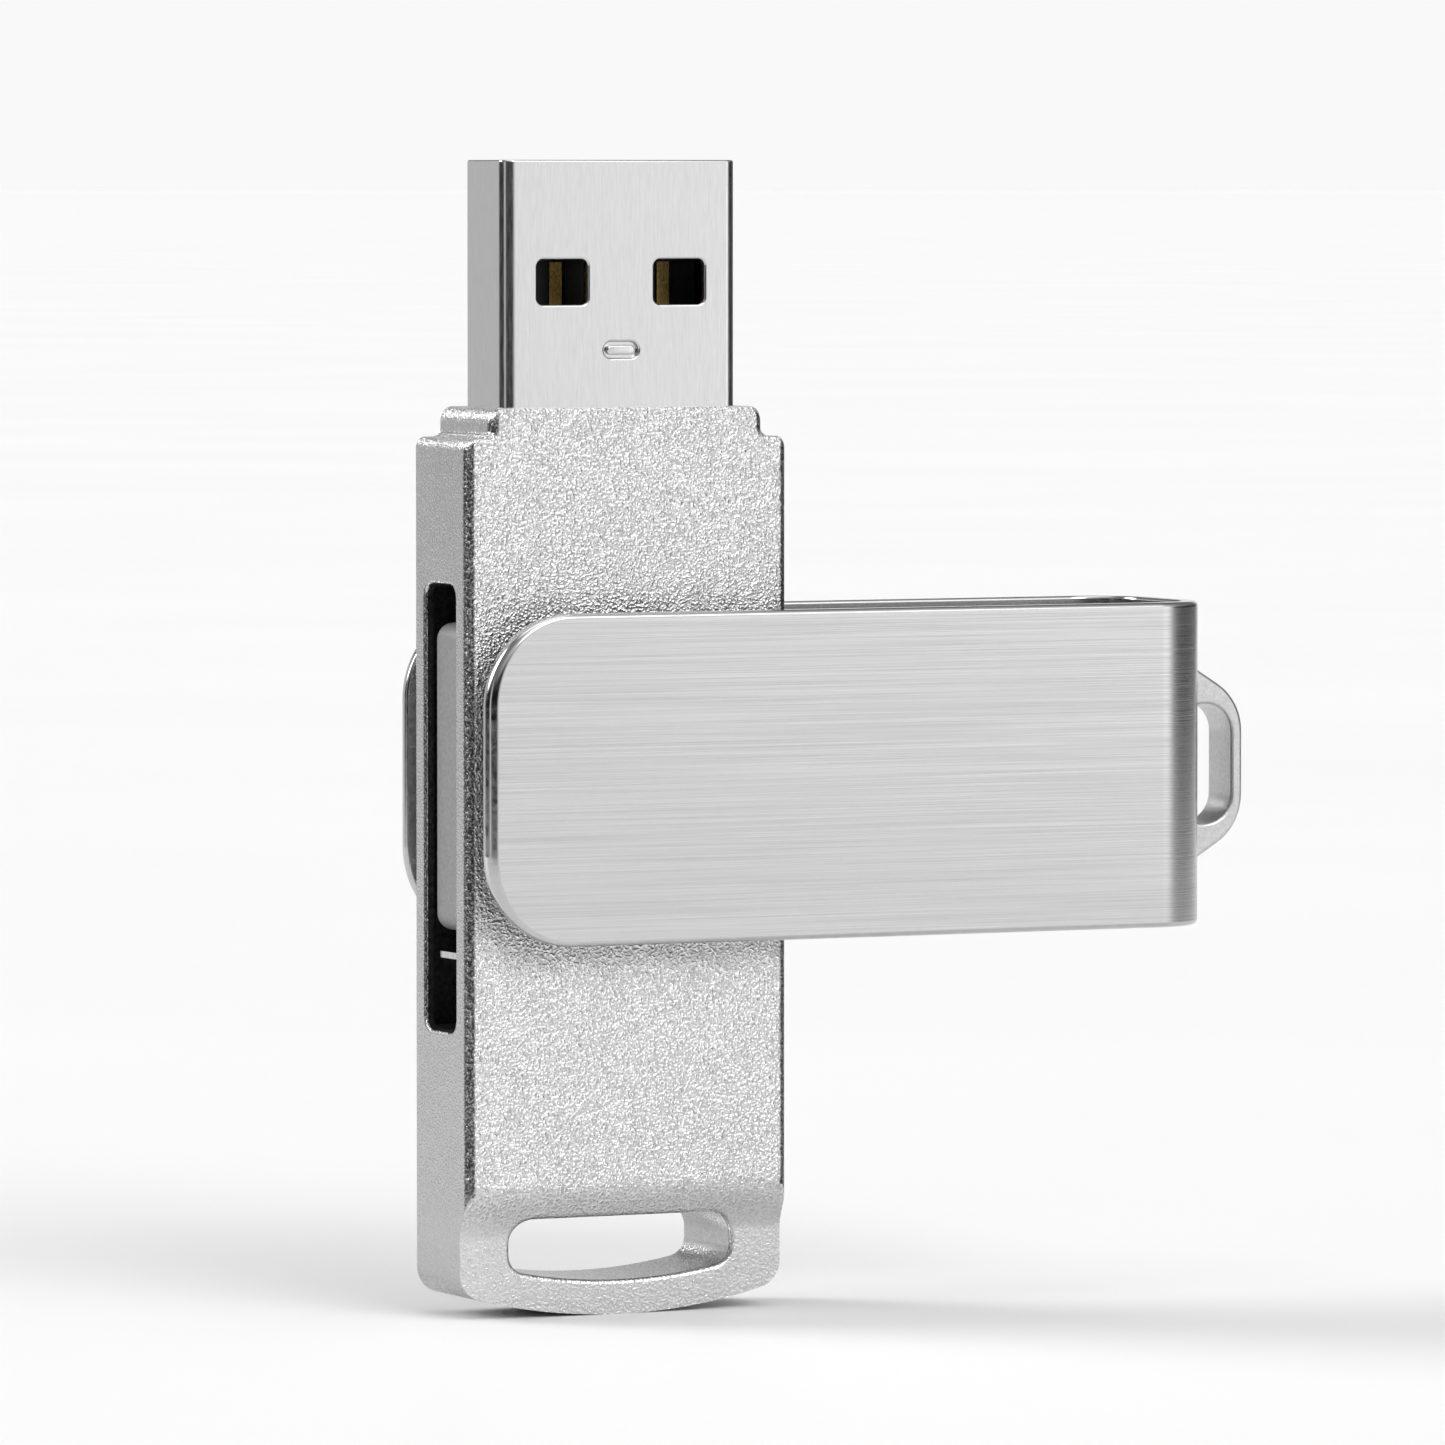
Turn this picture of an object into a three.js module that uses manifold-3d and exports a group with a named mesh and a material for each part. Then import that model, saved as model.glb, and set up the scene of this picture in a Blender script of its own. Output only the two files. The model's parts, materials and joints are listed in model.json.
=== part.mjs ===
// Swivel-cap USB flash drive, as an assembly of separate pieces. Millimetres, +Z up.
// The drive stands upright on its curved foot, plug up, with the cap turned a quarter turn to +X.
// X runs across the broad face, Y from the front face to the back face, Z up the drive.
// Every z below is measured from the swivel axis, which runs along Y. The last lines move the
// whole drive so that the origin is at the bottom centre of its box.

import * as THREE from 'three';
import { mergeVertices } from 'three/addons/utils/BufferGeometryUtils.js';
import Module from 'manifold-3d';

const wasm = await Module();
wasm.setup();

// ---------------------------------------------------------------- driving dimensions

const GAP = 0.03;            // between pieces that touch or are glued
const RUN = 0.06;            // between pieces that turn in each other
const CUT = 1;               // how far a cutting tool runs past the face that it cuts
const SAME_POINT = 1e-4;     // closer than this, two vertices are one

const body = {
  width: 16.5, thickness: 6.05, top: 17.15, shoulder: 15.75, bottom: -25.1,
  neckWidth: 14, neckCorner: 0.75, neckFillet: 0.35, shoulderCorner: 0.6, edge: 0.5,
  footRadius: 29, footEnd: 1.6, footCorner: 1.28,
};
const foot = { rampTop: -19.2, rampBottom: -21, recess: 0.88 };
const lanyard = {
  halfWidth: 5.7, top: -20.5, bottom: -23.5, archRadius: 26, corner: 1.15, lowCorner: 0.92,
};

const plug = {
  width: 12, thickness: 4.5, wall: 0.3, corner: 0.6, tip: 28.6, rear: 12.6,
  windowX: 3, windowWidth: 2.6, windowHeight: 2.1, windowDrop: 5.65, windowCorner: 0.3,
  padWidth: 1.75, padHeight: 0.75, padDrop: 8.8, padDepth: 0.12, padCorner: 0.37,
};
const tongue = { width: 10.8, lip: 0.5, root: 19.5, front: 0.25, step: 1.1, stepDrop: 4.2 };
const contact = { places: [-3.5, -1, 1, 3.5], width: 1, length: 3.2, thick: 0.12, drop: 0.75 };
const lead = { count: 5, pitch: 1.85, width: 0.65, length: 4.4, thick: 0.1 };

const pocket = { floor: 11.35 };
const retainer = { height: 1.15 };
const board = { width: 10.6, thick: 0.6, low: 11.9, high: 19.2, front: -0.5 };
// Parts on the board: width, thickness and height, then the centre across and up.
const chips = {
  controller: { size: [4.2, 0.85, 4.2], place: [-2.4, 15.8] },
  memory: { size: [8.6, 0.95, 5], place: [0, 15.9] },
  crystal: { size: [2.5, 0.6, 2], place: [2.6, 17.3] },
};
const capacitor = { count: 3, size: [0.6, 0.5, 1], left: 1.5, pitch: 1.2, height: 14.6 };

const chamber = { radius: 10.7, halfWidth: 7.8, halfThick: 2.1, top: 8.8, bottom: -11.6 };
const slot = { halfThick: 1.7, top: 9, bottom: -11.8, corner: 0.7, depth: 1.3 };
const hub = {
  halfWidth: 7.85, halfHeight: 7.15, halfThick: 1.4, corner: 0.8, edge: 0.25, bossRadius: 3.6,
};
const spring = { radius: 14.4, halfWidth: 7.8, crown: -10.4, thick: 0.25, halfThick: 0.95 };

const stud = { radius: 2, key: 2.6, keyTip: 0.3 };
const washer = { radius: 4.4 };
const cap = {
  height: 15.4, halfDepth: 5.05, sheet: 0.8, left: -8.05, right: 30.2,
  bend: 3.2, leftCorner: 4.3, rightCorner: 0.5,
};
const loop = {
  reach: 3.25, drop: 0.2, halfBase: 4.75, halfEnd: 3, corner: 1.8, baseCorner: 0.3, thick: 2.4,
  edge: 0.2, base: 0.55, side: 0.6, holeHalf: 2.87, holeCorner: 1, holeBaseCorner: 0.5,
  tenonHeight: 4, tenonThick: 1.4,
};

// How many straight steps stand for each round stretch.
const STEPS = { corner: 6, foot: 12, lanyard: 8, bend: 12, capCorner: 16, leaf: 24, rim: 4 };
const DISC = { chamber: 64, plain: 48, stud: 40 };

const halfBody = body.thickness / 2;
const plateInside = cap.halfDepth - cap.sheet;
const capInnerEnd = cap.right - cap.sheet;

// ---------------------------------------------------------------- materials

function finish(color, roughness, metalness) {
  return new THREE.MeshStandardMaterial({ color, roughness, metalness });
}

const castZinc = finish(0xc4c5c6, 0.45, 0.9);
const brushedSteel = finish(0xc6c6c5, 0.3, 1);
const plugSteel = finish(0xcfcecb, 0.25, 1);
const springSteel = finish(0xd8d8d8, 0.2, 1);
const gold = finish(0xd0a13c, 0.3, 1);
const blackPlastic = finish(0x111111, 0.5, 0);
const greyPlastic = finish(0x9a9b9c, 0.5, 0.1);
const chipResin = finish(0x1b1b1d, 0.6, 0);
const boardGreen = finish(0x14532d, 0.5, 0);
const ceramic = finish(0xa98f6a, 0.5, 0);
const nylon = finish(0x2a2a2b, 0.6, 0);

// ---------------------------------------------------------------- geometry helpers

function toSolid(geometry) {
  const bare = geometry.index ? geometry.toNonIndexed() : geometry.clone();
  bare.deleteAttribute('normal');
  bare.deleteAttribute('uv');
  const merged = mergeVertices(bare, SAME_POINT);
  const vertProperties = new Float32Array(merged.attributes.position.array);
  const triVerts = new Uint32Array(merged.index.array);
  return new wasm.Manifold(new wasm.Mesh({ numProp: 3, vertProperties, triVerts }));
}

function toGeometry(solid) {
  const { vertProperties, triVerts, numProp } = solid.getMesh();
  const points = [];
  for (let i = 0; i < vertProperties.length; i += numProp) {
    points.push(vertProperties[i], vertProperties[i + 1], vertProperties[i + 2]);
  }
  const geometry = new THREE.BufferGeometry();
  geometry.setAttribute('position', new THREE.Float32BufferAttribute(points, 3));
  geometry.setIndex([...triVerts]);
  geometry.computeVertexNormals();
  return geometry;
}

// A closed outline from corners [x, y, radius]; a corner with no radius stays sharp.
function roundedShape(corners) {
  const shape = new THREE.Shape();
  corners.forEach(([x, y, radius = 0], i) => {
    const here = new THREE.Vector2(x, y);
    const before = new THREE.Vector2(...corners.at(i - 1)).sub(here).normalize();
    const after = new THREE.Vector2(...corners[(i + 1) % corners.length]).sub(here).normalize();
    const half = Math.acos(THREE.MathUtils.clamp(before.dot(after), -1, 1)) / 2;
    const start = here.clone().addScaledVector(before, radius / Math.tan(half));
    if (i === 0) shape.moveTo(start.x, start.y);
    else shape.lineTo(start.x, start.y);
    if (radius === 0) return;
    const end = here.clone().addScaledVector(after, radius / Math.tan(half));
    const middle = before.clone().add(after).normalize();
    const centre = here.clone().addScaledVector(middle, radius / Math.sin(half));
    const from = start.sub(centre).angle();
    const to = end.sub(centre).angle();
    const clockwise = before.cross(after) > 0;
    shape.absarc(centre.x, centre.y, radius, from, to, clockwise);
  });
  shape.closePath();
  return shape;
}

function rectangle(halfWidth, low, high, radius = 0) {
  const corners = [[-halfWidth, low], [halfWidth, low], [halfWidth, high], [-halfWidth, high]];
  return roundedShape(corners.map(([x, y]) => [x, y, radius]));
}

// Shape (x, z) pushed through from y = front to y = back, with an optional rounded rim.
function throughY(shape, front, back, rim = 0, curveSegments = STEPS.corner) {
  const geometry = new THREE.ExtrudeGeometry(shape, {
    depth: back - front - 2 * rim, curveSegments,
    bevelEnabled: rim > 0, bevelThickness: rim, bevelSize: rim, bevelOffset: -rim,
    bevelSegments: STEPS.rim,
  });
  return toSolid(geometry.rotateX(Math.PI / 2).translate(0, back - rim, 0));
}

// Shape (x, y) pushed up from z = low to z = high.
function upZ(shape, low, high, curveSegments = STEPS.corner) {
  const geometry = new THREE.ExtrudeGeometry(shape, {
    depth: high - low, bevelEnabled: false, curveSegments,
  });
  return toSolid(geometry.translate(0, 0, low));
}

// Shape (y, z) pushed across from x = left to x = right.
function acrossX(shape, left, right, curveSegments = STEPS.corner) {
  const geometry = new THREE.ExtrudeGeometry(shape, {
    depth: right - left, bevelEnabled: false, curveSegments,
  });
  const turn = new THREE.Matrix4().makeBasis(
    new THREE.Vector3(0, 1, 0), new THREE.Vector3(0, 0, 1), new THREE.Vector3(1, 0, 0));
  return toSolid(geometry.applyMatrix4(turn).translate(left, 0, 0));
}

function block(low, high) {
  const [x, y, z] = low.map((value, axis) => high[axis] - value);
  const middle = low.map((value, axis) => (value + high[axis]) / 2);
  return toSolid(new THREE.BoxGeometry(x, y, z).translate(...middle));
}

function discY(radius, front, back, segments = DISC.plain) {
  const geometry = new THREE.CylinderGeometry(radius, radius, back - front, segments);
  return toSolid(geometry.translate(0, (front + back) / 2, 0));
}

// Points on an arc that sags to z = low at x = 0, for x from start to end.
function sagArc(radius, low, start, end, steps) {
  return Array.from({ length: steps + 1 }, (_, i) => {
    const x = start + ((end - start) * i) / steps;
    return [x, low + radius - Math.sqrt(radius ** 2 - x ** 2)];
  });
}

// ---------------------------------------------------------------- body pieces

function bodyOutline() {
  const side = body.width / 2;
  const neck = body.neckWidth / 2;
  const inFoot = side - body.footEnd;
  const corner = sagArc(body.footRadius, body.bottom, side, side, 1)[0];
  return roundedShape([
    ...sagArc(body.footRadius, body.bottom, -inFoot, inFoot, STEPS.foot),
    [...corner, body.footCorner],
    [side, body.shoulder, body.shoulderCorner],
    [neck, body.shoulder, body.neckFillet],
    [neck, body.top, body.neckCorner],
    [-neck, body.top, body.neckCorner],
    [-neck, body.shoulder, body.neckFillet],
    [-side, body.shoulder, body.shoulderCorner],
    [-corner[0], corner[1], body.footCorner],
  ]);
}

function lanyardOutline() {
  const { halfWidth, top, bottom, archRadius, corner, lowCorner } = lanyard;
  const inner = halfWidth - corner;
  const end = sagArc(archRadius, bottom, halfWidth, halfWidth, 1)[0];
  return roundedShape([
    ...sagArc(archRadius, bottom, -inner, inner, STEPS.lanyard),
    [...end, lowCorner],
    [halfWidth, top, corner],
    [-halfWidth, top, corner],
    [-end[0], end[1], lowCorner],
  ]);
}

// The front of the lower end steps back through a ramp.
function footRecess() {
  const front = -halfBody;
  const low = body.bottom - CUT;
  const profile = roundedShape([
    [front - CUT, low], [front + foot.recess, low], [front + foot.recess, foot.rampBottom],
    [front, foot.rampTop], [front - CUT, foot.rampTop],
  ]);
  return acrossX(profile, -body.width, body.width);
}

function hubChamber() {
  const disc = discY(chamber.radius, -chamber.halfThick, chamber.halfThick, DISC.chamber);
  const sides = block([-chamber.halfWidth, -chamber.halfThick, -chamber.radius],
    [chamber.halfWidth, chamber.halfThick, chamber.radius]);
  const tunnel = block([-chamber.halfWidth, -chamber.halfThick, chamber.bottom],
    [chamber.halfWidth, chamber.halfThick, chamber.top]);
  const springPad = block([-CUT, -spring.halfThick, chamber.bottom - CUT],
    [CUT, spring.halfThick, spring.crown - spring.thick - GAP]);
  return disc.intersect(sides).add(tunnel).subtract(springPad);
}

function sideSlot(direction) {
  const outer = body.width / 2 + CUT;
  const inner = body.width / 2 - slot.depth;
  const shape = rectangle(slot.halfThick, slot.bottom, slot.top, slot.corner);
  const [left, right] = direction < 0 ? [-outer, -inner] : [inner, outer];
  return acrossX(shape, left, right);
}

function bodyShell() {
  const plugPocket = block(
    [-plug.width / 2 - GAP, -plug.thickness / 2 - GAP, pocket.floor],
    [plug.width / 2 + GAP, plug.thickness / 2 + GAP, body.top + CUT]);
  const pivotHole = discY(stud.radius + RUN, -body.thickness, body.thickness);
  const tools = [
    footRecess(), throughY(lanyardOutline(), -body.thickness, body.thickness),
    plugPocket, hubChamber(), sideSlot(-1), sideSlot(1), pivotHole,
  ];
  const outside = throughY(bodyOutline(), -halfBody, halfBody, body.edge);
  return toGeometry(tools.reduce((solid, tool) => solid.subtract(tool), outside));
}

function plugShell() {
  const halfThick = plug.thickness / 2;
  const outer = rectangle(plug.width / 2, -halfThick, halfThick, plug.corner);
  const inner = rectangle(plug.width / 2 - plug.wall, plug.wall - halfThick, halfThick - plug.wall,
    plug.corner - plug.wall);
  const tube = upZ(outer, plug.rear, plug.tip).subtract(upZ(inner, plug.rear - CUT, plug.tip + CUT));
  const middle = plug.tip - plug.windowDrop;
  const windows = [-plug.windowX, plug.windowX].map((x) => {
    const low = middle - plug.windowHeight / 2;
    const shape = rectangle(plug.windowWidth / 2, low, low + plug.windowHeight, plug.windowCorner);
    return throughY(shape, -plug.thickness, plug.thickness).translate([x, 0, 0]);
  });
  const padLow = plug.tip - plug.padDrop - plug.padHeight / 2;
  const padShape = rectangle(plug.padWidth / 2, padLow, padLow + plug.padHeight, plug.padCorner);
  const pad = throughY(padShape, -plug.thickness, plug.padDepth - halfThick);
  return toGeometry([...windows, pad].reduce((solid, tool) => solid.subtract(tool), tube));
}

// The tongue fills the back half of the plug; behind the four front contacts it steps back.
function plugTongue() {
  const half = tongue.width / 2;
  const back = plug.thickness / 2 - plug.wall - GAP;
  const tip = plug.tip - tongue.lip;
  const raised = block([-half, tongue.front, tip - tongue.stepDrop], [half, back, tip]);
  const base = block([-half, tongue.step, tongue.root], [half, back, tip]);
  return toGeometry(raised.add(base));
}

// The carrier at the pocket's floor, slotted for the board's lower edge.
function plugRetainer() {
  const x = plug.width / 2 - GAP;
  const y = plug.thickness / 2 - GAP;
  const low = pocket.floor + GAP;
  const carrier = block([-x, -y, low], [x, y, low + retainer.height]);
  const edge = block([-board.width / 2 - GAP, board.front - GAP, board.low - GAP],
    [board.width / 2 + GAP, board.front + board.thick + GAP, body.top]);
  return toGeometry(carrier.subtract(edge));
}

// A thin leaf bowed under the hub, spot-welded to the pad on the chamber's floor.
function clickSpring() {
  const { radius, crown, thick, halfWidth, halfThick } = spring;
  const upper = sagArc(radius, crown, halfWidth, -halfWidth, STEPS.leaf);
  const lower = sagArc(radius + thick, crown - thick, -halfWidth, halfWidth, STEPS.leaf);
  return toGeometry(throughY(roundedShape([...lower, ...upper]), -halfThick, halfThick));
}

// ---------------------------------------------------------------- cap pieces

// One sheet folded into a U: the front plate, the end wall and the back plate.
function capShell() {
  const y = cap.halfDepth;
  const outer = roundedShape([
    [cap.left, -y], [cap.right, -y, cap.bend], [cap.right, y, cap.bend], [cap.left, y],
  ]);
  const inner = roundedShape([
    [cap.left - CUT, -plateInside], [capInnerEnd, -plateInside, cap.bend - cap.sheet],
    [capInnerEnd, plateInside, cap.bend - cap.sheet], [cap.left - CUT, plateInside],
  ]);
  const half = cap.height / 2;
  const strip = upZ(outer, -half, half, STEPS.bend)
    .subtract(upZ(inner, -half - CUT, half + CUT, STEPS.bend));
  const face = roundedShape([
    [cap.left, -half, cap.leftCorner], [cap.right, -half, cap.rightCorner],
    [cap.right, half, cap.rightCorner], [cap.left, half, cap.leftCorner],
  ]);
  const trimmed = strip.intersect(throughY(face, -2 * y, 2 * y, 0, STEPS.capCorner));
  return toGeometry(trimmed.subtract(loopTenon(cap.right + CUT, GAP)));
}

// The loop's foot, which passes through the cap's end wall and is flush inside it.
function loopTenon(right, room) {
  const left = room > 0 ? capInnerEnd - CUT : capInnerEnd;
  const thick = loop.tenonThick / 2 + room;
  const tall = loop.tenonHeight / 2 + room;
  return block([left, -thick, -tall], [right, thick, tall]);
}

// A closed ring standing on the cap's end wall, a little below the cap's middle.
function capLoop() {
  const wall = cap.right + GAP;
  const end = cap.right + loop.reach;
  const { halfBase, halfEnd, corner, baseCorner, holeHalf, holeCorner, holeBaseCorner } = loop;
  const halfThick = loop.thick / 2;
  const outline = roundedShape([
    [wall, -halfBase, baseCorner], [end, -halfEnd, corner],
    [end, halfEnd, corner], [wall, halfBase, baseCorner],
  ]);
  const inner = wall + loop.base;
  const outer = end - loop.side;
  const opening = roundedShape([
    [inner, -holeHalf, holeBaseCorner], [outer, -holeHalf, holeCorner],
    [outer, holeHalf, holeCorner], [inner, holeHalf, holeBaseCorner],
  ]);
  const ring = throughY(outline, -halfThick, halfThick, loop.edge)
    .subtract(throughY(opening, -loop.thick, loop.thick))
    .translate([0, 0, -loop.drop]);
  return toGeometry(ring.add(loopTenon(wall + loop.base / 2, 0)));
}

// The block that turns with the cap inside the body; its corners swing out of the side slots.
function swivelHub() {
  const shape = rectangle(hub.halfWidth, -hub.halfHeight, hub.halfHeight, hub.corner);
  const slab = throughY(shape, -hub.halfThick, hub.halfThick, hub.edge);
  const bossFace = chamber.halfThick - RUN;
  const key = stud.key / 2 + RUN;
  const socket = block([-key, -body.thickness, -key], [key, body.thickness, key]);
  return toGeometry(slab.add(discY(hub.bossRadius, -bossFace, bossFace)).subtract(socket));
}

// A round stud welded to a cap plate, with a square key that drives the hub.
function pivotStud() {
  const keySide = stud.key / 2;
  const shaft = discY(stud.radius, chamber.halfThick, plateInside - GAP, DISC.stud);
  const key = block([-keySide, stud.keyTip, -keySide], [keySide, chamber.halfThick + GAP, keySide]);
  return toGeometry(shaft.add(key));
}

function spacerWasher() {
  const front = halfBody + RUN;
  const back = plateInside - GAP;
  return toGeometry(discY(washer.radius, front, back).subtract(discY(stud.radius + RUN, 0, 2 * back)));
}

// ---------------------------------------------------------------- the drive

const drive = new THREE.Group();

function add(name, geometry, material, x = 0, y = 0, z = 0, turnZ = 0) {
  const mesh = new THREE.Mesh(geometry, material);
  mesh.name = name;
  mesh.position.set(x, y, z);
  mesh.rotation.z = turnZ;
  drive.add(mesh);
}

function addPlug() {
  add('body_shell', bodyShell(), castZinc);
  add('plug_shell', plugShell(), plugSteel);
  add('plug_tongue', plugTongue(), blackPlastic);
  add('plug_retainer', plugRetainer(), blackPlastic);
  const padGeometry = new THREE.BoxGeometry(contact.width, contact.thick, contact.length);
  const padZ = plug.tip - tongue.lip - contact.drop - contact.length / 2;
  contact.places.forEach((x, i) => {
    add(`contact_${i + 1}`, padGeometry, gold, x, tongue.front - GAP - contact.thick / 2, padZ);
  });
  const leadGeometry = new THREE.BoxGeometry(lead.width, lead.thick, lead.length);
  const leadZ = plug.tip - tongue.lip - tongue.stepDrop - GAP - lead.length / 2;
  for (let i = 0; i < lead.count; i += 1) {
    const x = (i - (lead.count - 1) / 2) * lead.pitch;
    add(`lead_${i + 1}`, leadGeometry, gold, x, tongue.step - GAP - lead.thick / 2, leadZ);
  }
}

// A surface-mounted part on the board's front face, or on its back.
function addChip(name, { size, place: [x, z] }, material, onFront = true) {
  const reach = GAP + size[1] / 2;
  const y = onFront ? board.front - reach : board.front + board.thick + reach;
  add(name, new THREE.BoxGeometry(...size), material, x, y, z);
}

function addBoard() {
  const height = board.high - board.low;
  const geometry = new THREE.BoxGeometry(board.width, board.thick, height);
  const middle = board.front + board.thick / 2;
  add('circuit_board', geometry, boardGreen, 0, middle, board.low + height / 2);
  addChip('controller_chip', chips.controller, chipResin);
  addChip('memory_chip', chips.memory, chipResin, false);
  addChip('crystal', chips.crystal, springSteel);
  for (let i = 0; i < capacitor.count; i += 1) {
    const place = [capacitor.left + i * capacitor.pitch, capacitor.height];
    addChip(`capacitor_${i + 1}`, { size: capacitor.size, place }, ceramic);
  }
}

function addCap() {
  add('click_spring', clickSpring(), springSteel);
  add('swivel_hub', swivelHub(), greyPlastic);
  add('cap_shell', capShell(), brushedSteel);
  add('cap_loop', capLoop(), castZinc);
  const sides = { front: Math.PI, back: 0 };
  for (const [side, turn] of Object.entries(sides)) {
    add(`${side}_stud`, pivotStud(), springSteel, 0, 0, 0, turn);
    add(`${side}_washer`, spacerWasher(), nylon, 0, 0, 0, turn);
  }
}

addPlug();
addBoard();
addCap();

const rightmost = cap.right + loop.reach;
const leftmost = -body.width / 2;
drive.position.set(-(leftmost + rightmost) / 2, 0, -body.bottom);

export default drive;
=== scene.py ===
import json
import math

import bmesh
import bpy
from mathutils import Matrix, Vector


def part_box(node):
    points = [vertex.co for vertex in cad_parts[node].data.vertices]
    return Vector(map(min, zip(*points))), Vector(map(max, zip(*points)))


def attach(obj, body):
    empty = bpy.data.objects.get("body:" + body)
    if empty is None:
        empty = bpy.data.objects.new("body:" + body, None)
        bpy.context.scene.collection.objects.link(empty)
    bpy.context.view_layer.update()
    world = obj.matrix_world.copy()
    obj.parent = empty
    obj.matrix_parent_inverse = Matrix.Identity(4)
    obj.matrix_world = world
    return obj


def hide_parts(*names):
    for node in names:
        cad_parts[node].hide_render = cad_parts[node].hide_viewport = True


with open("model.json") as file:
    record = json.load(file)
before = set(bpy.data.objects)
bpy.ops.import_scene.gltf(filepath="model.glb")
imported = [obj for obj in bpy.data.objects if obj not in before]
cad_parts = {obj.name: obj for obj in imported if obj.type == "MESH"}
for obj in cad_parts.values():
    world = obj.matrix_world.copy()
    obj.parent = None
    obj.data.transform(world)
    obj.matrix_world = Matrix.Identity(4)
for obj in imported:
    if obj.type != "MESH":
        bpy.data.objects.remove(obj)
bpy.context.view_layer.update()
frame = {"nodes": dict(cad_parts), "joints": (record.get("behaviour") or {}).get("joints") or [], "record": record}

# Looks of a swivel-cap USB flash drive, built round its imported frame. Metres, +Z up.
# X runs across the broad face, Y from the front face to the back face, Z up the drive.
# Outlines are lists of (a, b) points, drawn counter-clockwise; a loft carries them along an axis.

MM = 0.001

# ---------------------------------------------------------------- sizes read from the frame

PIVOT = Vector(frame["joints"][0]["pos_m"])
BODY_LOW, BODY_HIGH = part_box("body_shell")
PLUG_LOW, PLUG_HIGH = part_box("plug_shell")
CAP_LOW, CAP_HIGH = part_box("cap_shell")
LOOP_LOW, LOOP_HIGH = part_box("cap_loop")
HUB_LOW, HUB_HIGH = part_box("swivel_hub")
TONGUE_LOW, TONGUE_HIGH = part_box("plug_tongue")

BODY_X = PIVOT.x
PIVOT_Z = PIVOT.z

# ---------------------------------------------------------------- sizes of the fine shapes

# Cutting tools reach CLEAR past the faces that they open. Pieces that meet stand FIT apart.
CLEAR = 1 * MM
FIT = 0.03 * MM
# Cuts closer than this to a vertex go through the vertex.
SAME_POINT = 1e-7
# Straight steps in one rounded corner, rim or bend.
ARC_STEPS = 10
LONG_ARC_STEPS = 24
RIM_STEPS = 6
BODY_RIM_STEPS = 8
BEND_STEPS = 20

# The body: a plate with a narrower neck, a foot that is an arc, and a ramp above the lanyard hole.
NECK_HALF = 7 * MM
NECK_STEP = 1.4 * MM
NECK_CORNER = 0.75 * MM
NECK_FILLET = 0.35 * MM
NECK_RIM = 0.1 * MM
SHOULDER_CORNER = 0.6 * MM
BODY_EDGE = 0.5 * MM
BODY_TOP_EDGE = 0.15 * MM
BODY_FOOT_EDGE = 0.3 * MM
BESIDE_RIM = BODY_EDGE + 0.05 * MM
# The foot's arc stops FOOT_END inside each side, where the foot's corner takes over.
FOOT_RADIUS = 29 * MM
FOOT_END = 1.6 * MM
FOOT_CORNER = 1.28 * MM
RAMP_TOP = PIVOT_Z - 18.8 * MM
RAMP_BOTTOM = PIVOT_Z - 21.4 * MM
RAMP_DEPTH = 0.88 * MM
RAMP_SLICES = 28
# Keeps the ramp's cut off the faces that it meets.
RAMP_SKIN = 0.002 * MM

# The lanyard hole, whose lower edge follows the foot.
LANYARD_HALF = 5.7 * MM
LANYARD_TOP = PIVOT_Z - 20.5 * MM
LANYARD_BOTTOM = PIVOT_Z - 23.5 * MM
LANYARD_ARCH = 26 * MM
LANYARD_ARCH_STEPS = 16
LANYARD_CORNER = 1.15 * MM
LANYARD_LOW_CORNER = 0.92 * MM
LANYARD_RIM = 0.2 * MM

# The side slots, and the room behind them in which the hub turns.
SLOT_HALF = 1.7 * MM
SLOT_TOP = PIVOT_Z + 9 * MM
SLOT_BOTTOM = PIVOT_Z - 11.8 * MM
SLOT_CORNER = 0.7 * MM
SLOT_DEPTH = 1.3 * MM
SLOT_RIM = 0.16 * MM
CHAMBER_HALF_X = 7.8 * MM
CHAMBER_HALF_Y = 2.1 * MM
CHAMBER_RADIUS = 10.7 * MM
CHAMBER_TOP = PIVOT_Z + 8.8 * MM
CHAMBER_BOTTOM = PIVOT_Z - 11.6 * MM
CHAMBER_STEPS = 96
PIVOT_HOLE = 2.06 * MM
PIVOT_STEPS = 64
SPRING_PAD_HALF = (1 * MM, 0.95 * MM)
SPRING_PAD_TOP = PIVOT_Z - 10.7 * MM

# The plug's sleeve. Drops are measured down from the plug's tip to a middle.
PLUG_WALL = 0.3 * MM
PLUG_CORNER = 0.6 * MM
PLUG_RIM = 0.1 * MM
PLUG_BORE_RIM = 0.08 * MM
WINDOW_X = 3 * MM
WINDOW_SIZE = (2.6 * MM, 2.1 * MM)
WINDOW_DROP = 5.65 * MM
WINDOW_CORNER = 0.32 * MM
WINDOW_LIP = 0.11 * MM
PAD_SIZE = (1.75 * MM, 0.75 * MM)
PAD_DROP = 8.8 * MM
# A corner's radius as a share of the pad's height.
PAD_ROUNDNESS = 0.49
PAD_GAP = 0.15 * MM
# How far behind the plug's face the pad in the dimple starts and ends.
PAD_REACH = (0.03 * MM, 0.27 * MM)
PAD_RIM = 0.08 * MM
DIMPLE_DEPTH = 0.22 * MM
DIMPLE_RIM = 0.12 * MM
POCKET_FLOOR = PIVOT_Z + 11.35 * MM

# The tongue with its ribs, and the gold strips on it.
TONGUE_EDGE = 0.08 * MM
RIB_INSET = 0.12 * MM
RIB_HEIGHT = 0.22 * MM
RIB_ROOT = 0.1 * MM
RIB_START = 0.4 * MM
RIB_EDGE = 0.05 * MM
CONTACTS = 4
LEADS = 5
GOLD_EDGE = 0.04 * MM

# The cap's folded sheet. Its bend is the outside radius.
SHEET = 0.8 * MM
CAP_BEND = 3.2 * MM
CAP_CORNER = 4.3 * MM
CAP_END_EDGE = 0.5 * MM
CAP_LONG_EDGE = 0.25 * MM
CAP_INNER_EDGE = 0.15 * MM
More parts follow.
